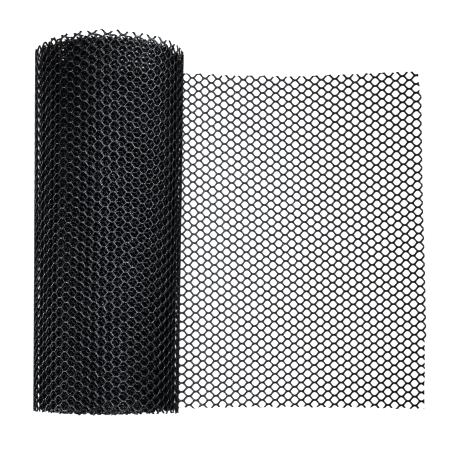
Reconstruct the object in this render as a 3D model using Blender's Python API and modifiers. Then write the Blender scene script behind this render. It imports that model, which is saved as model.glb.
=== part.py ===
# Roll of black plastic mesh with its free end pulled out flat, lying on a surface.
# The axis of the roll runs along Y, and the loose end leaves under it towards +X.
# The origin is on the surface, under the middle of the whole piece.

import bpy
import bmesh
from math import asin, cos, pi, radians, sin
from mathutils import Vector

# The net as it was cut: its width, and how far its two long edges lie from the middle
NET_THICKNESS = 0.002
ROLL_LOW_EDGE = -0.1982
ROLL_HIGH_EDGE = 0.2034
FLAP_LOW_EDGE = -0.2034
FLAP_HIGH_EDGE = 0.1979

# The roll: a spiral of loose turns around an open core, seen along its axis
AXIS_X = -0.14215
OUTER_RADIUS = 0.08485
TURN_STEP = 0.0045
TURNS = 6.1
FLAT_DEPTH = 0.0007
LEAVE_ANGLE = radians(28.0)
POINTS_A_TURN = 96

# The roll leans a little and is wound looser at its high end
AXIS_LEAN = 0.0108
LOOSENESS = 0.047

# The loose end: off the roll, over a low hump, down to the surface and up at its tip
HUMP_SLOPE = radians(13.0)
TOUCH_X = 0.0681
TOUCH_LENGTH = 0.016
TIP_X = 0.2232
TIP_RISE = 0.0208
SEAM_GAP = 0.0003
SEAM_BLEND = 0.060
NET_LEAN = -0.0183

# Openings of the loose end, at twice the pitch of the real net
PITCH = 0.021
PERIOD = 0.03164
BAR = 0.0074
STRAND = 0.0032
ROWS = 18
COLUMNS = 16
PLAIN_COLUMNS = 5
SPARE_CELLS = 2
TIP_STUB = 0.0022
PLAIN_STEP = 0.006

WELD = 0.000001


def clear_scene():
    for old in list(bpy.data.objects):
        bpy.data.objects.remove(old, do_unlink=True)


def add_collection(name):
    collection = bpy.data.collections.new(name)
    bpy.context.scene.collection.children.link(collection)
    return collection


def black_plastic(name, roughness):
    material = bpy.data.materials.new(name)
    material.use_nodes = True
    shader = material.node_tree.nodes["Principled BSDF"]
    shader.inputs["Base Color"].default_value = (0.012, 0.012, 0.014, 1.0)
    shader.inputs["Roughness"].default_value = roughness
    shader.inputs["Metallic"].default_value = 0.0
    return material


def outer_radius(angle):
    # angle is counted from straight down towards +X, and the net winds the other way
    wound = (LEAVE_ANGLE - angle) / (2.0 * pi)
    return OUTER_RADIUS - TURN_STEP * wound


AXIS_HEIGHT = outer_radius(0.0) - FLAT_DEPTH


def spiral(start_angle, start_radius):
    # one full turn, closed by the step where the next turn begins
    points = []
    for index in range(POINTS_A_TURN + 1):
        share = index / POINTS_A_TURN
        angle = start_angle - 2.0 * pi * share
        radius = start_radius - TURN_STEP * share
        points.append((radius * sin(angle), -radius * cos(angle)))
    return points


def lean_roll(point):
    # the roll's own lean and taper, which leave its lowest line on the surface
    x, y, z = point
    scale = 1.0 + LOOSENESS * y
    return Vector((AXIS_X + AXIS_LEAN * y + scale * (x - AXIS_X), y, scale * z))


def add_spline(curve, points):
    spline = curve.splines.new("POLY")
    spline.points.add(len(points) - 1)
    for place, (x, z) in zip(spline.points, points):
        place.co = (x, z, 0.0, 1.0)
    spline.use_cyclic_u = True


def make_roll(collection, material):
    inner_angle = LEAVE_ANGLE - 2.0 * pi * TURNS
    inner_radius = OUTER_RADIUS - NET_THICKNESS - TURN_STEP * (TURNS - 1.0)
    curve = bpy.data.curves.new("roll_outline", "CURVE")
    curve.dimensions = "2D"
    curve.fill_mode = "BOTH"
    curve.extrude = (ROLL_HIGH_EDGE - ROLL_LOW_EDGE) / 2.0
    add_spline(curve, spiral(LEAVE_ANGLE, OUTER_RADIUS))
    add_spline(curve, spiral(inner_angle, inner_radius))
    outline = bpy.data.objects.new("roll_outline", curve)
    collection.objects.link(outline)
    bpy.context.view_layer.update()
    graph = bpy.context.evaluated_depsgraph_get()
    mesh = bpy.data.meshes.new_from_object(outline.evaluated_get(graph))
    bpy.data.objects.remove(outline, do_unlink=True)
    bpy.data.curves.remove(curve)

    middle = (ROLL_HIGH_EDGE + ROLL_LOW_EDGE) / 2.0
    work = bmesh.new()
    work.from_mesh(mesh)
    bmesh.ops.remove_doubles(work, verts=work.verts, dist=WELD)
    for vert in work.verts:
        across, up, along = vert.co
        vert.co = lean_roll((AXIS_X + across, middle - along, AXIS_HEIGHT + up))
    press_flat(work)
    bmesh.ops.recalc_face_normals(work, faces=work.faces)
    finish_mesh(work, mesh, radians(20.0))
    roll = bpy.data.objects.new("roll", mesh)
    collection.objects.link(roll)
    roll.data.materials.clear()
    roll.data.materials.append(material)
    return roll


def press_flat(work):
    # the flat spot that the roll rests on
    parts = list(work.verts) + list(work.edges) + list(work.faces)
    cut = bmesh.ops.bisect_plane(work, geom=parts, plane_co=(0.0, 0.0, 0.0),
                                 plane_no=(0.0, 0.0, 1.0), clear_inner=True)
    rim = [part for part in cut["geom_cut"] if isinstance(part, bmesh.types.BMEdge)]
    bmesh.ops.edgenet_fill(work, edges=rim)


def finish_mesh(work, mesh, sharp_angle):
    work.to_mesh(mesh)
    work.free()
    mesh.shade_smooth()
    mesh.set_sharp_from_angle(angle=sharp_angle)


def loose_end_bends():
    # rows of (length, bend): the bend is the change of slope, upwards counted positive
    half = NET_THICKNESS / 2.0
    x, z = leave_point()
    across = TOUCH_X - TOUCH_LENGTH / 2.0 - x
    drop = z - half
    hump_x = sin(LEAVE_ANGLE) + sin(HUMP_SLOPE)
    hump_z = cos(HUMP_SLOPE) - cos(LEAVE_ANGLE)
    fall_x = sin(HUMP_SLOPE)
    fall_z = 1.0 - cos(HUMP_SLOPE)
    fall_radius = (drop * hump_x + across * hump_z) / (fall_z * hump_x + fall_x * hump_z)
    hump_radius = (across - fall_radius * fall_x) / hump_x
    tip_run = TIP_X - TOUCH_X - TOUCH_LENGTH / 2.0
    tip_radius = (tip_run ** 2 + TIP_RISE ** 2) / (2.0 * TIP_RISE)
    tip_slope = asin(tip_run / tip_radius)
    return [
        (hump_radius * (LEAVE_ANGLE + HUMP_SLOPE), -LEAVE_ANGLE - HUMP_SLOPE),
        (fall_radius * HUMP_SLOPE, HUMP_SLOPE),
        (TOUCH_LENGTH, 0.0),
        (tip_radius * tip_slope, tip_slope),
    ]


def leave_point():
    radius = OUTER_RADIUS - NET_THICKNESS / 2.0
    return AXIS_X + radius * sin(LEAVE_ANGLE), AXIS_HEIGHT - radius * cos(LEAVE_ANGLE)


def path_point(run):
    # middle of the sheet at a distance from where it leaves the roll
    x, z = leave_point()
    slope = LEAVE_ANGLE
    for length, bend in BENDS:
        step = min(run, length)
        curvature = bend / length
        turned = slope + curvature * step
        if abs(curvature) < WELD:
            x += step * cos(slope)
            z += step * sin(slope)
        else:
            x += (sin(turned) - sin(slope)) / curvature
            z += (cos(slope) - cos(turned)) / curvature
        slope = turned
        run -= step
        if run <= 0.0:
            break
    return x + run * cos(slope), z + run * sin(slope), slope


BENDS = loose_end_bends()
FLAP_LENGTH = sum(row[0] for row in BENDS)


def ease(share):
    share = min(max(share, 0.0), 1.0)
    return share * share * (3.0 - 2.0 * share)


def bend_sheet(point):
    # from the flat net (distance off the roll, place across) to where the sheet lies
    run, y, depth = point
    freed = ease(run / SEAM_BLEND)
    x, z, slope = path_point(run + NET_LEAN * y * freed)
    place = Vector((x - depth * sin(slope), y, z + depth * cos(slope)))
    return lean_roll(place).lerp(place, freed)


def add_cell(work, x, y):
    half_pitch = PITCH / 2.0
    tip = (PERIOD - BAR) / 2.0
    corners = [(tip, 0.0), (BAR / 2.0, half_pitch), (-BAR / 2.0, half_pitch),
               (-tip, 0.0), (-BAR / 2.0, -half_pitch), (BAR / 2.0, -half_pitch)]
    work.faces.new([work.verts.new((x + dx, y + dy, 0.0)) for dx, dy in corners])


def flat_net(work):
    # hexagons side by side, some past the cut edges: their edges, widened by a bevel, are the strands
    last_x = FLAP_LENGTH - TIP_STUB - (PERIOD - BAR) / 2.0
    middle = (FLAP_LOW_EDGE + FLAP_HIGH_EDGE) / 2.0
    open_cells = []
    for column in range(-SPARE_CELLS, COLUMNS + PLAIN_COLUMNS):
        x = last_x - column * PERIOD / 2.0
        shift = PITCH / 4.0 if column % 2 == 0 else -PITCH / 4.0
        for row in range(-SPARE_CELLS, ROWS + SPARE_CELLS):
            y = middle + shift + (row - (ROWS - 1) / 2.0) * PITCH
            add_cell(work, x, y)
            if column < COLUMNS:
                open_cells.append((x, y))
    bmesh.ops.remove_doubles(work, verts=work.verts, dist=PITCH / 100.0)
    bmesh.ops.bevel(work, geom=list(work.edges), offset=STRAND / 2.0, offset_type="OFFSET",
                    segments=1, profile=0.5, affect="EDGES", clamp_overlap=False)
    return open_cells


def trim(work, place, normal):
    parts = list(work.verts) + list(work.edges) + list(work.faces)
    bmesh.ops.bisect_plane(work, geom=parts, plane_co=place, plane_no=normal, clear_outer=True)


def open_the_cells(work, open_cells):
    near = {(round(x, 4), round(y, 4)) for x, y in open_cells}
    holes = []
    for face in work.faces:
        middle = face.calc_center_median()
        if len(face.verts) == 6 and (round(middle.x, 4), round(middle.y, 4)) in near:
            holes.append(face)
    bmesh.ops.delete(work, geom=holes, context="FACES")


def make_margin_plain(work):
    # the stretch beside the roll is one plain band, split across so that it can bend
    border = FLAP_LENGTH - TIP_STUB - (COLUMNS + 1) * PERIOD / 2.0
    plain = [face for face in work.faces if face.calc_center_median().x < border]
    bmesh.ops.dissolve_faces(work, faces=plain, use_verts=True)
    run = PLAIN_STEP
    while run < border:
        parts = list(work.verts) + list(work.edges) + list(work.faces)
        bmesh.ops.bisect_plane(work, geom=parts, plane_co=(run, 0.0, 0.0), plane_no=(1.0, 0.0, 0.0))
        run += PLAIN_STEP


def make_loose_end(collection, material):
    mesh = bpy.data.meshes.new("loose_end")
    work = bmesh.new()
    open_cells = flat_net(work)
    open_the_cells(work, open_cells)
    trim(work, (FLAP_LENGTH, 0.0, 0.0), (1.0, 0.0, 0.0))
    trim(work, (SEAM_GAP, 0.0, 0.0), (-1.0, 0.0, 0.0))
    trim(work, (0.0, FLAP_HIGH_EDGE, 0.0), (0.0, 1.0, 0.0))
    trim(work, (0.0, FLAP_LOW_EDGE, 0.0), (0.0, -1.0, 0.0))
    make_margin_plain(work)
    bmesh.ops.recalc_face_normals(work, faces=work.faces)
    for vert in work.verts:
        vert.co = bend_sheet(vert.co)
    finish_mesh(work, mesh, radians(30.0))
    sheet = bpy.data.objects.new("loose_end", mesh)
    collection.objects.link(sheet)
    mesh.materials.append(material)
    thickness = sheet.modifiers.new("thickness", "SOLIDIFY")
    thickness.thickness = NET_THICKNESS
    thickness.offset = 0.0
    thickness.use_even_offset = True
    thickness.use_rim = True
    return sheet


def main():
    clear_scene()
    collection = add_collection("mesh_roll")
    make_roll(collection, black_plastic("roll_plastic", 0.42))
    make_loose_end(collection, black_plastic("loose_end_plastic", 0.38))
    bpy.context.view_layer.update()


main()
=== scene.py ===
import time
from math import asin, ceil, cos, floor, pi, radians, sin

import bmesh
import bpy
import numpy as np
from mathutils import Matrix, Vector


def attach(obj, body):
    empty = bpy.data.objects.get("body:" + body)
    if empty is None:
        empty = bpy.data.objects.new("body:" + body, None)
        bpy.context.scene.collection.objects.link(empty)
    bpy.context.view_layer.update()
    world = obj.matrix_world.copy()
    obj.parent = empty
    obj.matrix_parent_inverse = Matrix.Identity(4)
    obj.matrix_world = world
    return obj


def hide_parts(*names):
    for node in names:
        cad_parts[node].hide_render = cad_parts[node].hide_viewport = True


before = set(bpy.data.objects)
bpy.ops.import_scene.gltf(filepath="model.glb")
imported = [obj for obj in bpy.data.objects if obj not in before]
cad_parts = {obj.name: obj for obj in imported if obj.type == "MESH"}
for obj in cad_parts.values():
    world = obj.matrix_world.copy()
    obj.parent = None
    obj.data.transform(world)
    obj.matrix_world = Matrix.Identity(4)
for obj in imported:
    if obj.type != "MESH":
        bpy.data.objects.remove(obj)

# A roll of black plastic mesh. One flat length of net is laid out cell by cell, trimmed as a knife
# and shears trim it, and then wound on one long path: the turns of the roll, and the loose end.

startTime = time.time()
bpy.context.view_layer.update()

net = {
    "pitch": 0.0105,  # rows of openings across the net
    "period": 0.01582,  # openings along one row
    "barLength": 0.0036,
    "barWidth": 0.00212,
    "barWaist": 0.0017,
    "strandWidth": 0.00172,
    "thickness": 0.0017,
    "rimShare": 0.46,  # where a strand is widest, as a share of its half thickness
    "tipFillet": 0.00075,  # how far the rounding reaches from the corners of an opening
    "tipRounding": 0.55,
    "barFillet": 0.0007,
    "plasticShare": 0.40,  # how much of the net's area is plastic
    "rowPhase": -0.0004,  # how far the middle row lies from the origin
    "drift": 0.0012,  # how unevenly the openings lie
    "driftScale": 14.0,  # patches of that a metre
    "weld": 0.00002,
    "spareCells": 2,  # past each cut
}

trim = {
    "highEdge": 0.1985,
    "lowEdge": -0.2034,
    "ripple": 0.0006,  # how unsteady the knife was
    "lowRippleStart": 3.0,  # so that the two edges don't ripple alike
    "rollHighShift": -0.0014,  # on the roll the knife ran a little askew to the rows
    "rollHighWave": 0.0024,  # a wave once a turn, and how far in from the loose end it peaks
    "rollHighPlace": 0.427,
    "rollHighCurl": 0.0014,  # and a wave twice a turn
    "rollHighCurlPlace": 0.305,
    "rollLowShift": -0.0022,
    "rollLowWave": 0.0017,
    "rollLowPlace": 0.294,
    "rollLowCurl": 0.0012,
    "rollLowCurlPlace": 0.305,
    "wavelength": 0.50,  # about one turn
    "waveEnd": 0.47,  # further in, the edges run straight
    "waveFade": 0.25,
    "innerHighShift": -0.0018,
    "innerLowShift": -0.0008,
}

# the waves of that ripple, in radians a metre
ripples = [
    {"rate": 310.0, "share": 1.0, "phase": 0.0},
    {"rate": 787.0, "share": 0.7, "phase": 1.3},
    {"rate": 1490.0, "share": 0.4, "phase": 0.0},
]

# The free end was cut by hand: down to each height, how far past the middle of the last column.
endCuts = [
    {"downTo": 0.1850, "past": 0.0022},
    {"downTo": 0.1745, "past": 0.0036},
    {"downTo": -0.1220, "past": 0.0059},
    {"downTo": -0.1700, "past": 0.0040},
    {"downTo": -1.0, "past": 0.0033},
]

roll = {
    "axisX": -0.1426,
    "outerRadius": 0.0853,
    "slackTurns": 0.83,  # how much of the outermost turn has sprung open
    "slackStep": 0.00507,
    "turnStep": 0.00252,
    "turns": 7,
    "gapFrom": 0.83,  # the turns within lie apart from the outermost one, and sag in it
    "gapTo": 1.326,
    "gap": 0.00252,
    "sag": 0.001,
    "flatDepth": 0.0007,  # of the flat spot that its weight presses
    "leaveAngle": radians(28.0),
    "pointsATurn": 96,
    "lean": 0.0078,  # of the axis towards +X, by this much a metre along the roll
    "looseness": 0.075,  # the roll grows wider towards +Y, by this share a metre
    "edgeShift": 0.0060,  # how much further towards +Y the roll lies than the loose end
    "settled": 0.170,  # how far in from the loose end all of that holds in full
    "settleStart": -0.03,
    "wander": 0.0019,  # how far the net wanders to either side as it is wound
    "wanderPlace": 0.26,
    "wanderEnd": 0.55,  # and how that fades further in
    "wanderFade": 0.45,
    "columnShift": 0.0031,  # the columns' place, slant and slight S on the roll
    "columnSlope": -0.0125,
    "columnSway": 0.0008,
    "columnSwayPlace": 0.0575,
    "columnSwayLength": 0.31,
    "columnWave": -0.0015,  # they come closer and further apart once a turn
    "columnWavePlace": 0.44,
    "rowShift": -0.0026,  # the rows' place on the roll
    "rowCreep": 0.0042,  # the rows run askew to the edges, by this much a metre
    "creepPlace": 0.30,
    "rowStretch": 0.0063,  # the rows are a little further apart there, the more so towards +Y
    "rowBow": 0.058,
    "rowSlip": 0.00525,  # the turns within lie half a row higher
    "slipFrom": 0.43,
    "slipTo": 0.68,
    "waviness": 0.0005,  # how unevenly the net follows the true spiral
}

looseEnd = {
    "humpSlope": radians(13.0),  # the steepest fall behind the hump
    "touchX": 0.0681,  # the middle of the band that lies on the floor
    "touchLength": 0.016,
    "tipX": 0.2232,
    "tipRise": 0.0208,
    "seamBlend": 0.060,  # over this length the roll's lean and looseness fade out
    "lean": -0.0183,  # of the columns, by this much a metre of width
    "leanMost": 0.95,  # its share at the band on the floor, and how it falls away from there
    "leanFall": 0.33,
    "leanReach": 0.13,
    "phase": 0.0008,  # from the end of the band on the floor to the middle of a column
    "lastColumn": 18,
    "sway": 0.0008,  # the columns' slight S across the width
    "swayRate": 15.0,
    "stretch": 0.0135,  # how much longer the openings are towards the free end
    "cornerSpread": 0.0014,  # the far corner is pulled out, from here to there
    "cornerRun": (0.01, 0.06),
    "cornerAcross": (0.09, 0.17),
    "pathStep": 0.004,
}


def report(stage):
    print(f"[{time.time() - startTime:6.1f} s] {stage}")


def easeAt(value, low, high):
    share = min(max((value - low) / (high - low), 0.0), 1.0)
    return share * share * (3.0 - 2.0 * share)


# The path of the net, seen along the roll

def withinAt(wound):
    # wound is counted in turns from where the net leaves the roll
    return easeAt(wound, roll["gapFrom"], roll["gapTo"])


def radiusAt(wound):
    slack = min(wound, roll["slackTurns"])
    radius = roll["outerRadius"] - roll["slackStep"] * slack - roll["turnStep"] * (wound - slack)
    return radius - roll["gap"] * withinAt(wound)


axisHeight = radiusAt(roll["leaveAngle"] / (2.0 * pi)) - roll["flatDepth"]


def turnPoint(wound):
    angle = roll["leaveAngle"] - 2.0 * pi * wound
    radius = radiusAt(wound) - net["thickness"] / 2.0
    height = axisHeight - roll["sag"] * withinAt(wound) - radius * cos(angle)
    return roll["axisX"] + radius * sin(angle), max(height, net["thickness"] / 2.0)


def looseEndBends():
    # rows of (length, how far it turns): over the hump, down, along the floor, up to the free end
    x, z = turnPoint(0.0)
    leave, fall = roll["leaveAngle"], looseEnd["humpSlope"]
    across = looseEnd["touchX"] - looseEnd["touchLength"] / 2.0 - x
    drop = z - net["thickness"] / 2.0
    humpX, humpZ = sin(leave) + sin(fall), cos(fall) - cos(leave)
    fallX, fallZ = sin(fall), 1.0 - cos(fall)
    fallRadius = (drop * humpX + across * humpZ) / (fallZ * humpX + fallX * humpZ)
    humpRadius = (across - fallRadius * fallX) / humpX
    tipRun = looseEnd["tipX"] - looseEnd["touchX"] - looseEnd["touchLength"] / 2.0
    tipRadius = (tipRun ** 2 + looseEnd["tipRise"] ** 2) / (2.0 * looseEnd["tipRise"])
    tipSlope = asin(tipRun / tipRadius)
    return [
        (humpRadius * (leave + fall), -leave - fall),
        (fallRadius * fall, fall),
        (looseEnd["touchLength"], 0.0),
        (tipRadius * tipSlope, tipSlope),
    ]


def bendPoint(bends, run):
    straight = 1e-6
    x, z = turnPoint(0.0)
    slope = roll["leaveAngle"]
    for length, bend in bends:
        step = min(run, length)
        curvature = bend / length
        turned = slope + curvature * step
        if abs(curvature) < straight:
            x, z = x + step * cos(slope), z + step * sin(slope)
        else:
            x += (sin(turned) - sin(slope)) / curvature
            z += (cos(slope) - cos(turned)) / curvature
        slope = turned
        run -= step
        if run <= 0.0:
            break
    return x + run * cos(slope), z + run * sin(slope)


def makePath():
    # turnEnds holds how far along the path each turn starts, outermost first
    turnCount = roll["turns"] * roll["pointsATurn"]
    points = [turnPoint(roll["turns"] * (1.0 - i / turnCount)) for i in range(turnCount)]
    bends = looseEndBends()
    length = sum(row[0] for row in bends) + net["period"]
    looseCount = ceil(length / looseEnd["pathStep"])
    points += [bendPoint(bends, length * i / looseCount) for i in range(looseCount + 1)]
    curve = bpy.data.curves.new("netPath", "CURVE")
    curve.dimensions = "3D"
    spline = curve.splines.new("POLY")
    spline.points.add(len(points) - 1)
    for place, (x, z) in zip(spline.points, points):
        place.co = (x, 0.0, z, 1.0)
    path = bpy.data.objects.new("netPath", curve)
    bpy.context.scene.collection.objects.link(path)
    steps = np.linalg.norm(np.diff(np.array(points), axis=0), axis=1)
    runs = np.concatenate([[0.0], np.cumsum(steps)])
    turnEnds = [float(runs[turnCount - k * roll["pointsATurn"]]) for k in range(roll["turns"] + 1)]
    restEnd = turnEnds[0] + sum(row[0] for row in bends[:3])
    return path, turnEnds, restEnd


# One opening of the net, with half of each strand around it

def openingCorners():
    tip = (net["period"] - net["barLength"]) / 2.0
    halfBar, halfPitch = net["barLength"] / 2.0, net["pitch"] / 2.0
    return [Vector((tip, 0.0)), Vector((halfBar, halfPitch)), Vector((-halfBar, halfPitch)),
            Vector((-tip, 0.0)), Vector((-halfBar, -halfPitch)), Vector((halfBar, -halfPitch))]


def rimPoints():
    # rows of (place, corner it belongs to): the rounded edge of the opening
    corners = openingCorners()
    tip, barEnd = corners[0], corners[1]
    leg = (barEnd - tip).normalized()
    inward = Vector((-leg.y, leg.x))
    if inward.x > 0.0:
        inward = -inward
    legStart = tip + inward * net["strandWidth"] / 2.0
    barY = barEnd.y - net["barWidth"] / 2.0
    tipPoint = legStart + leg * (-legStart.y / leg.y)
    barPoint = legStart + leg * ((barY - legStart.y) / leg.y)
    fromTip = tipPoint + leg * net["tipFillet"]
    tipMiddle = tipPoint + (fromTip - tipPoint).project(Vector((1.0, 0.0))) * net["tipRounding"]
    beforeBar = barPoint - leg * net["barFillet"]
    afterBar = Vector((barPoint.x - net["barFillet"], barY))
    # one quarter, then its mirror images with the matching corners
    quarter = [(tipMiddle, 0), (fromTip, 0), (beforeBar, 1), (afterBar, 1)]
    waist = Vector((0.0, barEnd.y - net["barWaist"] / 2.0))
    points = quarter + [(waist, 1)]
    points += [(Vector((-p.x, p.y)), {0: 3, 1: 2}[c]) for p, c in reversed(quarter)]
    points += [(Vector((-p.x, -p.y)), {0: 3, 1: 4}[c]) for p, c in quarter[1:]] + [(-waist, 4)]
    points += [(Vector((p.x, -p.y)), {0: 0, 1: 5}[c]) for p, c in reversed(quarter[1:])]
    return points


def makeCell(name, roundStrands):
    corners = openingCorners()
    rim = rimPoints()
    half = net["thickness"] / 2.0
    shares = [net["rimShare"], -net["rimShare"]] if roundStrands else [0.0]
    work = bmesh.new()
    ridges = [[work.verts.new((c.x, c.y, side * half)) for c in corners] for side in (1.0, -1.0)]
    rims = [[work.verts.new((p.x, p.y, share * half)) for p, c in rim] for share in shares]
    count = len(rim)
    for ridge, edge, flip in ((ridges[0], rims[0], False), (ridges[1], rims[-1], True)):
        for i in range(count):
            j = (i + 1) % count
            ring = [edge[i], ridge[rim[i][1]], ridge[rim[j][1]], edge[j]]
            if rim[i][1] == rim[j][1]:
                ring.pop(2)
            work.faces.new(list(reversed(ring)) if flip else ring)
    if roundStrands:
        for i in range(count):
            j = (i + 1) % count
            work.faces.new([rims[0][j], rims[1][j], rims[1][i], rims[0][i]])
    mesh = bpy.data.meshes.new(name)
    work.to_mesh(mesh)
    work.free()
    cell = bpy.data.objects.new(name, mesh)
    bpy.context.scene.collection.objects.link(cell)
    return cell


# Geometry Nodes trees

def newTree(name, inputs):
    tree = bpy.data.node_groups.new(name, "GeometryNodeTree")
    tree.is_modifier = True
    tree.interface.new_socket("Geometry", in_out="OUTPUT", socket_type="NodeSocketGeometry")
    for label, kind in inputs:
        tree.interface.new_socket(label, in_out="INPUT", socket_type="NodeSocket" + kind)
    return tree


def plug(tree, socket, value):
    if isinstance(value, bpy.types.NodeSocket):
        tree.links.new(value, socket)
    else:
        socket.default_value = value


def mathNode(tree, operation, *values):
    node = tree.nodes.new("ShaderNodeMath")
    node.operation = operation
    for socket, value in zip(node.inputs, values):
        plug(tree, socket, value)
    return node.outputs[0]


def combine(tree, x, y, z):
    node = tree.nodes.new("ShaderNodeCombineXYZ")
    for socket, value in zip(node.inputs, (x, y, z)):
        plug(tree, socket, value)
    return node.outputs[0]


def separate(tree, vector):
    node = tree.nodes.new("ShaderNodeSeparateXYZ")
    tree.links.new(vector, node.inputs[0])
    return node.outputs


def smoothStep(tree, value, low, high):
    node = tree.nodes.new("ShaderNodeMapRange")
    node.interpolation_type = "SMOOTHSTEP"
    for label, given in (("Value", value), ("From Min", low), ("From Max", high)):
        plug(tree, node.inputs[label], given)
    return node.outputs["Result"]


def waveNode(tree, run, place, wavelength):
    fromPlace = mathNode(tree, "SUBTRACT", run, place)
    return mathNode(tree, "COSINE", mathNode(tree, "MULTIPLY", fromPlace, 2.0 * pi / wavelength))


def movePoints(tree, geometry, **values):
    node = tree.nodes.new("GeometryNodeSetPosition")
    tree.links.new(geometry, node.inputs["Geometry"])
    for label, value in values.items():
        tree.links.new(value, node.inputs[label])
    return node.outputs["Geometry"]


def finishTree(tree, geometry, plastic):
    real = tree.nodes.new("GeometryNodeRealizeInstances")
    tree.links.new(geometry, real.inputs["Geometry"])
    finish = tree.nodes.new("GeometryNodeSetMaterial")
    tree.links.new(real.outputs["Geometry"], finish.inputs["Geometry"])
    tree.links.new(plastic, finish.inputs["Material"])
    tree.links.new(finish.outputs["Geometry"], tree.nodes.new("NodeGroupOutput").inputs["Geometry"])
    return tree


def makeNetTree():
    # the flat net: rows of openings, every other column half a pitch lower
    tree = newTree("layNetFlat", [
        ("Cell", "Object"), ("Columns", "Int"), ("Rows", "Int"), ("First Column", "Int"),
        ("Period", "Float"), ("Pitch", "Float"), ("Start", "Float"), ("Weld", "Float"),
        ("Row Phase", "Float"), ("Roll End", "Float"), ("Row Shift", "Float"), ("Row Creep", "Float"),
        ("Row Stretch", "Float"), ("Row Bow", "Float"), ("Row Slip", "Float"),
        ("Plastic", "Material")])
    links = tree.links
    given = tree.nodes.new("NodeGroupInput").outputs
    grid = tree.nodes.new("GeometryNodeMeshGrid")
    halfPeriod = mathNode(tree, "MULTIPLY", given["Period"], 0.5)
    sizeX = mathNode(tree, "MULTIPLY", mathNode(tree, "SUBTRACT", given["Columns"], 1.0), halfPeriod)
    sizeY = mathNode(tree, "MULTIPLY", mathNode(tree, "SUBTRACT", given["Rows"], 1.0), given["Pitch"])
    for label, value in (("Size X", sizeX), ("Size Y", sizeY), ("Vertices X", given["Columns"]),
                         ("Vertices Y", given["Rows"])):
        links.new(value, grid.inputs[label])
    index = tree.nodes.new("GeometryNodeInputIndex").outputs[0]
    column = mathNode(tree, "FLOOR", mathNode(tree, "DIVIDE", index, given["Rows"]))
    odd = mathNode(tree, "FLOORED_MODULO", mathNode(tree, "ADD", column, given["First Column"]), 2.0)
    startX = mathNode(tree, "MULTIPLY_ADD", given["First Column"], halfPeriod, given["Start"])
    moveX = mathNode(tree, "MULTIPLY_ADD", sizeX, 0.5, startX)
    moveY = mathNode(tree, "MULTIPLY", mathNode(tree, "SUBTRACT", odd, 1.0), given["Pitch"])
    moveY = mathNode(tree, "MULTIPLY_ADD", moveY, 0.5, given["Row Phase"])
    placed = movePoints(tree, grid.outputs["Mesh"], Offset=combine(tree, moveX, moveY, 0.0))
    cell = tree.nodes.new("GeometryNodeObjectInfo")
    links.new(given["Cell"], cell.inputs["Object"])
    stand = tree.nodes.new("GeometryNodeInstanceOnPoints")
    links.new(placed, stand.inputs["Points"])
    links.new(cell.outputs["Geometry"], stand.inputs["Instance"])
    real = tree.nodes.new("GeometryNodeRealizeInstances")
    links.new(stand.outputs["Instances"], real.inputs["Geometry"])
    weld = tree.nodes.new("GeometryNodeMergeByDistance")
    links.new(real.outputs["Geometry"], weld.inputs["Geometry"])
    links.new(given["Weld"], weld.inputs["Distance"])

    # on the roll the rows lie a little askew to the edges, and further apart
    run, across = separate(tree, tree.nodes.new("GeometryNodeInputPosition").outputs[0])[:2]
    back = mathNode(tree, "SUBTRACT", given["Roll End"], run)
    onRoll = smoothStep(tree, back, roll["settleStart"], roll["settled"])
    shift = mathNode(tree, "SUBTRACT", back, roll["creepPlace"])
    shift = mathNode(tree, "MULTIPLY_ADD", shift, given["Row Creep"], given["Row Shift"])
    shift = mathNode(tree, "MULTIPLY_ADD", across, given["Row Stretch"], shift)
    bow = mathNode(tree, "MULTIPLY", across, across)
    shift = mathNode(tree, "MULTIPLY_ADD", bow, given["Row Bow"], shift)
    within = smoothStep(tree, back, roll["slipFrom"], roll["slipTo"])
    shift = mathNode(tree, "MULTIPLY_ADD", within, given["Row Slip"], shift)
    shift = mathNode(tree, "MULTIPLY", shift, onRoll)
    laid = movePoints(tree, weld.outputs["Geometry"], Offset=combine(tree, 0.0, shift, 0.0))
    return finishTree(tree, laid, given["Plastic"])


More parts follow.
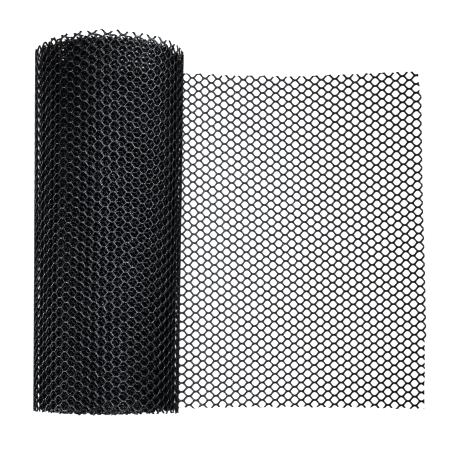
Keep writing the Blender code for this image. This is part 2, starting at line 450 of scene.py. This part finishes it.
def makeWindTree(rollEnd, restEnd):
    # the flat net's x is its run from the innermost end, and its y stays the way along the roll
    tree = newTree("windNet", [("Geometry", "Geometry"), ("Path", "Object"), ("Waviness", "Float"),
                               ("Drift", "Float"), ("Seed", "Float"), ("Plastic", "Material")])
    links = tree.links
    given = tree.nodes.new("NodeGroupInput").outputs
    position = tree.nodes.new("GeometryNodeInputPosition").outputs[0]
    run, across, depth = separate(tree, position)
    back = mathNode(tree, "SUBTRACT", rollEnd, run)
    freed = smoothStep(tree, run, rollEnd, rollEnd + looseEnd["seamBlend"])
    onRoll = smoothStep(tree, back, roll["settleStart"], roll["settled"])

    uneven = tree.nodes.new("ShaderNodeTexNoise")
    uneven.noise_dimensions = "4D"
    for label, value in (("Vector", position), ("W", given["Seed"]), ("Scale", net["driftScale"]),
                         ("Detail", 1.0)):
        plug(tree, uneven.inputs[label], value)
    driftX, driftY, lift = [mathNode(tree, "SUBTRACT", part, 0.5)
                            for part in separate(tree, uneven.outputs["Color"])]
    driftX = mathNode(tree, "MULTIPLY", driftX, given["Drift"])
    driftY = mathNode(tree, "MULTIPLY", driftY, given["Drift"])
    lift = mathNode(tree, "MULTIPLY", mathNode(tree, "MULTIPLY", lift, given["Waviness"]), onRoll)

    # the columns' slant on the loose end, and on the roll
    fromRest = mathNode(tree, "SUBTRACT", run, restEnd)
    leaning = mathNode(tree, "MULTIPLY", fromRest, 1.0 / looseEnd["leanReach"])
    leaning = mathNode(tree, "MULTIPLY", mathNode(tree, "MULTIPLY", leaning, leaning),
                       -looseEnd["leanFall"])
    leaning = mathNode(tree, "ADD", leaning, looseEnd["leanMost"])
    slant = mathNode(tree, "MULTIPLY", mathNode(tree, "MULTIPLY", across, looseEnd["lean"]), leaning)
    sway = mathNode(tree, "SINE", mathNode(tree, "MULTIPLY", across, looseEnd["swayRate"]))
    slant = mathNode(tree, "MULTIPLY_ADD", sway, -looseEnd["sway"], slant)
    slant = mathNode(tree, "MULTIPLY_ADD", slant, freed, driftX)
    pulled = mathNode(tree, "MAXIMUM", fromRest, 0.0)
    slant = mathNode(tree, "MULTIPLY_ADD", pulled, looseEnd["stretch"], slant)
    rollSway = waveNode(tree, across, roll["columnSwayPlace"], roll["columnSwayLength"])
    rollSlant = mathNode(tree, "MULTIPLY_ADD", across, roll["columnSlope"], roll["columnShift"])
    rollSlant = mathNode(tree, "MULTIPLY_ADD", rollSway, -roll["columnSway"], rollSlant)
    rollWave = waveNode(tree, back, roll["columnWavePlace"], trim["wavelength"])
    rollSlant = mathNode(tree, "MULTIPLY_ADD", rollWave, roll["columnWave"], rollSlant)
    slant = mathNode(tree, "MULTIPLY_ADD", rollSlant, onRoll, slant)

    path = tree.nodes.new("GeometryNodeObjectInfo")
    links.new(given["Path"], path.inputs["Object"])
    sample = tree.nodes.new("GeometryNodeSampleCurve")
    sample.mode = "LENGTH"
    sample.use_all_curves = True
    links.new(path.outputs["Geometry"], sample.inputs["Curves"])
    links.new(mathNode(tree, "ADD", run, slant), sample.inputs["Length"])
    spot = separate(tree, sample.outputs["Position"])
    heading = separate(tree, sample.outputs["Tangent"])
    raised = mathNode(tree, "ADD", depth, lift)
    x = mathNode(tree, "SUBTRACT", spot[0], mathNode(tree, "MULTIPLY", raised, heading[2]))
    z = mathNode(tree, "MULTIPLY_ADD", raised, heading[0], spot[2])

    wander = waveNode(tree, back, roll["wanderPlace"], trim["wavelength"])
    wander = mathNode(tree, "MULTIPLY", wander,
                      smoothStep(tree, back, roll["wanderEnd"] + roll["wanderFade"], roll["wanderEnd"]))
    aside = mathNode(tree, "MULTIPLY_ADD", wander, roll["wander"], roll["edgeShift"])
    y = mathNode(tree, "MULTIPLY_ADD", aside, onRoll, mathNode(tree, "ADD", across, driftY))
    corner = mathNode(tree, "MULTIPLY", smoothStep(tree, fromRest, *looseEnd["cornerRun"]),
                      smoothStep(tree, across, *looseEnd["cornerAcross"]))
    y = mathNode(tree, "MULTIPLY_ADD", corner, looseEnd["cornerSpread"], y)

    # the roll leans, and is looser at one end
    scale = mathNode(tree, "MULTIPLY_ADD", y, roll["looseness"], 1.0)
    fromAxis = mathNode(tree, "SUBTRACT", x, roll["axisX"])
    leanX = mathNode(tree, "MULTIPLY_ADD", y, roll["lean"], roll["axisX"])
    leanX = mathNode(tree, "MULTIPLY_ADD", fromAxis, scale, leanX)
    leanZ = mathNode(tree, "MULTIPLY", z, scale)
    mix = tree.nodes.new("ShaderNodeMix")
    mix.data_type = "VECTOR"
    links.new(freed, mix.inputs[0])
    links.new(combine(tree, leanX, y, leanZ), mix.inputs[4])
    links.new(combine(tree, x, y, z), mix.inputs[5])
    wound = movePoints(tree, given["Geometry"], Position=mix.outputs[1])
    return finishTree(tree, wound, given["Plastic"])


def applyTree(piece, tree, values):
    sockets = {item.name: item.identifier for item in tree.interface.items_tree
               if item.item_type == "SOCKET" and item.in_out == "INPUT"}
    modifier = piece.modifiers.new(tree.name, "NODES")
    modifier.node_group = tree
    for label, value in values.items():
        modifier[sockets[label]] = value
    bpy.context.view_layer.update()
    graph = bpy.context.evaluated_depsgraph_get()
    mesh = bpy.data.meshes.new_from_object(piece.evaluated_get(graph))
    piece.modifiers.clear()
    piece.data = mesh


# Cuts

def rippleAt(x):
    waves = sum(wave["share"] * sin(x * wave["rate"] + wave["phase"]) for wave in ripples)
    return trim["ripple"] * waves


def edgeAt(side, x, rollEnd):
    # side is High or Low
    back = rollEnd - x
    wave = cos(2.0 * pi * (back - trim[f"roll{side}Place"]) / trim["wavelength"])
    curl = cos(4.0 * pi * (back - trim[f"roll{side}CurlPlace"]) / trim["wavelength"])
    askew = trim[f"roll{side}Shift"] + trim[f"roll{side}Wave"] * wave + trim[f"roll{side}Curl"] * curl
    askew *= easeAt(back, roll["settleStart"], roll["settled"])
    within = easeAt(back, trim["waveEnd"], trim["waveEnd"] + trim["waveFade"])
    askew += (trim[f"inner{side}Shift"] - askew) * within
    start = 0.0 if side == "High" else trim["lowRippleStart"]
    return trim[f"{side.lower()}Edge"] + askew + rippleAt(x + start)


def endCutAt(y):
    return next(cut["past"] for cut in endCuts if y >= cut["downTo"])


def cutAcross(work, axis, side, cutAt):
    # cuts along the line axis = cutAt(other), and closes each cut strand with a flat end
    other = 1 - axis
    normal = Vector((0.0, 0.0, 0.0))
    normal[axis] = side
    reach = net["period"]
    sliver = 1e-7
    moved = [(vert, cutAt(vert.co[other])) for vert in work.verts]
    for vert, offset in moved:
        vert.co[axis] -= offset
    near = [face for face in work.faces if abs(face.verts[0].co[axis]) < reach]
    parts = list({edge for face in near for edge in face.edges}) + near
    parts += list({vert for face in near for vert in face.verts})
    cut = bmesh.ops.bisect_plane(work, geom=parts, plane_co=(0.0, 0.0, 0.0), plane_no=normal)
    ends = [edge for edge in cut["geom_cut"] if isinstance(edge, bmesh.types.BMEdge)]
    beyond = [vert for vert in work.verts if vert.co[axis] * side > sliver]
    bmesh.ops.delete(work, geom=beyond, context="VERTS")
    bmesh.ops.edgenet_fill(work, edges=[edge for edge in ends if edge.is_valid])
    for vert in work.verts:
        vert.co[axis] += cutAt(vert.co[other])


def trimNet(piece, start, end, rollEnd, freeEnd):
    work = bmesh.new()
    work.from_mesh(piece.data)
    cutAcross(work, 1, 1.0, lambda x: edgeAt("High", x, rollEnd))
    cutAcross(work, 1, -1.0, lambda x: edgeAt("Low", x, rollEnd))
    cutAcross(work, 0, -1.0, lambda y: start)
    cutAcross(work, 0, 1.0, (lambda y: end + endCutAt(y)) if freeEnd else (lambda y: end))
    work.to_mesh(piece.data)
    work.free()


# Finish

plasticLook = {
    "deep": (0.0030, 0.0030, 0.0036),
    "worn": (0.0060, 0.0061, 0.0070),
    "tintRange": (0.35, 0.75),  # between these shares of the patches one look fades to the other
    "roughness": (0.44, 0.54),
    "roughRange": (0.3, 0.7),
    "bend": 1.49,  # how strongly polyethylene bends light
    "grainSize": 0.0009,  # the fine orange-peel grain of extruded plastic
    "grainDetail": 2.0,
    "grainDepth": 0.00002,
    "patchSize": 0.012,  # duller and shinier patches
    "patchDetail": 3.0,
}


def blackPlastic(name):
    material = bpy.data.materials.new(name)
    material.use_nodes = True
    nodes, links = material.node_tree.nodes, material.node_tree.links
    shader = nodes["Principled BSDF"]
    shader.inputs["IOR"].default_value = plasticLook["bend"]
    place = nodes.new("ShaderNodeTexCoord").outputs["Object"]

    def noise(size, detail):
        node = nodes.new("ShaderNodeTexNoise")
        node.inputs["Scale"].default_value = 1.0 / size
        node.inputs["Detail"].default_value = detail
        links.new(place, node.inputs["Vector"])
        return node.outputs["Fac"]

    patches = noise(plasticLook["patchSize"], plasticLook["patchDetail"])
    grain = noise(plasticLook["grainSize"], plasticLook["grainDetail"])
    tint = nodes.new("ShaderNodeValToRGB")
    stops = tint.color_ramp.elements
    for stop, position, look in zip(stops, plasticLook["tintRange"], ("deep", "worn")):
        stop.position = position
        stop.color = (*plasticLook[look], 1.0)
    links.new(patches, tint.inputs["Fac"])
    links.new(tint.outputs["Color"], shader.inputs["Base Color"])
    rough = nodes.new("ShaderNodeMapRange")
    links.new(patches, rough.inputs["Value"])
    fadeLabels = ("From Min", "From Max", "To Min", "To Max")
    for label, value in zip(fadeLabels, plasticLook["roughRange"] + plasticLook["roughness"]):
        rough.inputs[label].default_value = value
    links.new(rough.outputs["Result"], shader.inputs["Roughness"])
    bump = nodes.new("ShaderNodeBump")
    bump.inputs["Strength"].default_value = 1.0
    bump.inputs["Distance"].default_value = plasticLook["grainDepth"]
    links.new(grain, bump.inputs["Height"])
    links.new(bump.outputs["Normal"], shader.inputs["Normal"])
    return material


# The pieces of the net

path, turnEnds, restEnd = makePath()
rollEnd = turnEnds[0]
firstColumnAt = restEnd + looseEnd["phase"]
lastColumnAt = firstColumnAt + looseEnd["lastColumn"] * net["period"] / 2.0
report(f"path: {rollEnd:.3f} m wound, {lastColumnAt - rollEnd:.3f} m loose")
netTree = makeNetTree()
windTree = makeWindTree(rollEnd, restEnd)
roundCell = makeCell("roundCell", True)
plainCell = makeCell("plainCell", False)
plastic = blackPlastic("netPlastic")


def layPiece(name, cell, start, end, seed, waviness, freeEnd=False):
    # columns are counted from the one above the end of the band where the net lies on the floor
    step = net["period"] / 2.0
    spare = net["spareCells"]
    width = trim["highEdge"] - trim["lowEdge"]
    firstColumn = floor((start - firstColumnAt) / step) - spare
    lastColumn = ceil((end - firstColumnAt) / step) + spare + 1
    rows = ceil(width / net["pitch"]) + 2 * spare + 1
    piece = bpy.data.objects.new(name, bpy.data.meshes.new(name))
    bpy.context.scene.collection.objects.link(piece)
    applyTree(piece, netTree, {
        "Cell": cell, "Columns": lastColumn - firstColumn + 1, "Rows": rows,
        "First Column": firstColumn, "Period": net["period"], "Pitch": net["pitch"],
        "Start": firstColumnAt, "Weld": net["weld"], "Row Phase": net["rowPhase"], "Roll End": rollEnd,
        "Row Shift": roll["rowShift"], "Row Creep": roll["rowCreep"],
        "Row Stretch": roll["rowStretch"], "Row Bow": roll["rowBow"], "Row Slip": roll["rowSlip"],
        "Plastic": plastic})
    trimNet(piece, start, end, rollEnd, freeEnd)
    applyTree(piece, windTree, {"Path": path, "Waviness": waviness, "Drift": net["drift"],
                                "Seed": seed, "Plastic": plastic})
    piece.data.shade_smooth()
    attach(piece, "root")
    triangles = sum(len(face.vertices) - 2 for face in piece.data.polygons)
    report(f"{name}: {triangles} triangles")
    return piece


endPiece = layPiece("looseEndNet", roundCell, rollEnd, lastColumnAt, 0.0, 0.0, freeEnd=True)
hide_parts("loose_end")
for turn in range(roll["turns"]):
    cell = roundCell if turn == 0 else plainCell
    start = turnEnds[turn + 1]
    piece = layPiece(f"rollTurn{turn + 1}", cell, start, turnEnds[turn], turn + 1.0, roll["waviness"])
    if turn == 0:
        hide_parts("roll")

for helper in (path, roundCell, plainCell):
    bpy.data.objects.remove(helper, do_unlink=True)


# Floor, light and camera

floorLook = {
    "size": 60.0,
    "color": 0.03,  # the floor glows, and returns little of the lamps
    "specular": 0.1,
    "roughness": 0.9,
    "glow": 1.0,
}

studio = {
    "zenith": 0.05,  # the world's glow overhead and low down, and the heights between which it fades
    "horizon": 0.34,
    "fadeHeights": (0.3, 0.85),
    "contrast": 0.41,  # of the picture
    "middle": (-0.14, 0.0, 0.08),  # what the lamps point at, and how far off they hang
    "distance": 0.95,
    "spread": 34.0,  # of each lamp's beam
    "stripWidth": 0.34,
    "stripColor": (0.94, 0.96, 1.0),
}

# Lamps: each leans from straight above towards +X, and is pushed along the roll towards +Y.
strips = [
    {"name": "leftStrip", "angle": -78.0, "along": -0.45, "length": 0.7, "power": 2.9},
    {"name": "lowLeftStrip", "angle": -58.0, "along": -0.42, "length": 0.7, "power": 2.1},
    {"name": "highLeftStrip", "angle": -8.0, "along": 0.42, "length": 0.7, "power": 2.7},
    {"name": "topStrip", "angle": 14.0, "along": -0.05, "length": 0.7, "power": 1.8},
    {"name": "highRightStrip", "angle": 38.0, "along": -0.28, "length": 0.7, "power": 2.7},
    {"name": "lowRightStrip", "angle": 60.0, "along": 0.50, "length": 0.7, "power": 2.4},
    {"name": "rightStrip", "angle": 80.0, "along": 0.45, "length": 0.7, "power": 2.1},
]


def makeFloor():
    bpy.ops.mesh.primitive_plane_add(size=floorLook["size"], location=(0.0, 0.0, 0.0))
    floorSheet = bpy.context.object
    floorSheet.name = "floor"
    material = bpy.data.materials.new("paleFloor")
    material.use_nodes = True
    shader = material.node_tree.nodes["Principled BSDF"]
    shade = floorLook["color"]
    shader.inputs["Base Color"].default_value = (shade, shade, shade, 1.0)
    shader.inputs["Specular IOR Level"].default_value = floorLook["specular"]
    shader.inputs["Roughness"].default_value = floorLook["roughness"]
    shader.inputs["Emission Color"].default_value = (1.0, 1.0, 1.0, 1.0)
    shader.inputs["Emission Strength"].default_value = floorLook["glow"]
    floorSheet.data.materials.append(material)


view = {
    "lens": 79.84,
    "sensor": 36.0,
    "height": 1.2099,
    "footX": -0.0119,
    "footY": -0.0994,
    "footBelow": 96.0,  # the point under the camera, in pixels below the middle of the picture
    "pictureWidth": 450.0,
    "shift": 0.16,
}


def makeCamera():
    data = bpy.data.cameras.new("camera")
    data.lens, data.sensor_width = view["lens"], view["sensor"]
    below = view["footBelow"] / view["pictureWidth"] - view["shift"]
    tilt = below * view["sensor"] / view["lens"]
    camera = bpy.data.objects.new("camera", data)
    camera.location = (view["footX"], view["footY"], view["height"])
    camera.rotation_euler = (tilt, 0.0, 0.0)
    data.shift_y = view["shift"]
    bpy.context.scene.collection.objects.link(camera)
    bpy.context.scene.camera = camera


def addStrip(strip):
    middle = Vector(studio["middle"])
    lean = radians(strip["angle"])
    place = middle + Vector((sin(lean), 0.0, cos(lean))) * studio["distance"]
    place.y += strip["along"]
    data = bpy.data.lights.new(strip["name"], "AREA")
    data.shape = "RECTANGLE"
    data.size, data.size_y = strip["length"], studio["stripWidth"]
    data.energy = strip["power"]
    data.spread = radians(studio["spread"])
    data.color = studio["stripColor"]
    light = bpy.data.objects.new(strip["name"], data)
    light.location = place
    light.rotation_euler = (middle - place).to_track_quat("-Z", "Y").to_euler()
    light.visible_camera = False
    bpy.context.scene.collection.objects.link(light)


def makeWorld():
    # dim overhead, where the camera hangs, and paler towards the horizon
    world = bpy.data.worlds.new("studio")
    bpy.context.scene.world = world
    world.use_nodes = True
    nodes, links = world.node_tree.nodes, world.node_tree.links
    direction = nodes.new("ShaderNodeTexCoord").outputs["Generated"]
    split = nodes.new("ShaderNodeSeparateXYZ")
    links.new(direction, split.inputs[0])
    fade = nodes.new("ShaderNodeMapRange")
    fade.interpolation_type = "SMOOTHSTEP"
    links.new(split.outputs[2], fade.inputs["Value"])
    for label, value in (("From Min", studio["fadeHeights"][0]), ("From Max", studio["fadeHeights"][1]),
                         ("To Min", studio["horizon"]), ("To Max", studio["zenith"])):
        fade.inputs[label].default_value = value
    links.new(fade.outputs["Result"], nodes["Background"].inputs["Strength"])
    nodes["Background"].inputs["Color"].default_value = (1.0, 1.0, 1.0, 1.0)


makeFloor()
makeWorld()
for strip in strips:
    addStrip(strip)
makeCamera()
bpy.context.scene.view_settings.view_transform = "Standard"
bpy.context.scene.view_settings.gamma = studio["contrast"]

bpy.context.view_layer.update()
report("done")
